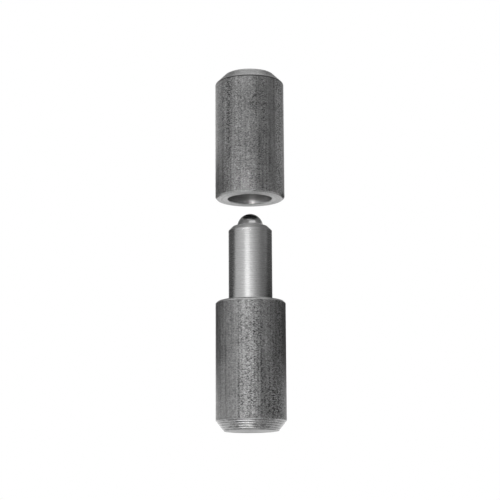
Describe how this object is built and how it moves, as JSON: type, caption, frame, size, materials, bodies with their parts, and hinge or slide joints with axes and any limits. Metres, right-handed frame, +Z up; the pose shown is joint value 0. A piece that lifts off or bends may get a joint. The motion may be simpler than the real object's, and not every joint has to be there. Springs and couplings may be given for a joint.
{
  "type": "lift-off weld-on ball hinge",
  "caption": "Round weld-on door hinge: a lower barrel with a pressed pin carries a blind upper barrel on a loose ball, and the upper barrel lifts off.",
  "frame": {"origin": "centre of the lower barrel's end face, on the hinge axis", "axes": "+Z up the hinge axis, from the lower barrel to the upper one; the part is round, so X and Y are any two directions across it"},
  "size_m": [0.016, 0.016, 0.083],
  "materials": {
    "bar_steel": "dark drawn bar skin with turned ends",
    "pin_steel": "bright turned",
    "ball_steel": "polished"
  },
  "bodies": {
    "lower_half": {"lower_barrel": "bar_steel", "hinge_pin": "pin_steel"},
    "ball": {"thrust_ball": "ball_steel"},
    "upper_half": {"upper_barrel": "bar_steel"}
  },
  "joints": [
    {"name": "swing", "type": "hinge", "parent": "lower_half", "child": "ball", "pos_m": [0, 0, 0.04675], "axis": [0, 0, 1], "continuous": true},
    {"name": "lift_off", "type": "slide", "parent": "ball", "child": "upper_half", "axis": [0, 0, 1], "range_m": [-0.02305, 0]}
  ]
}
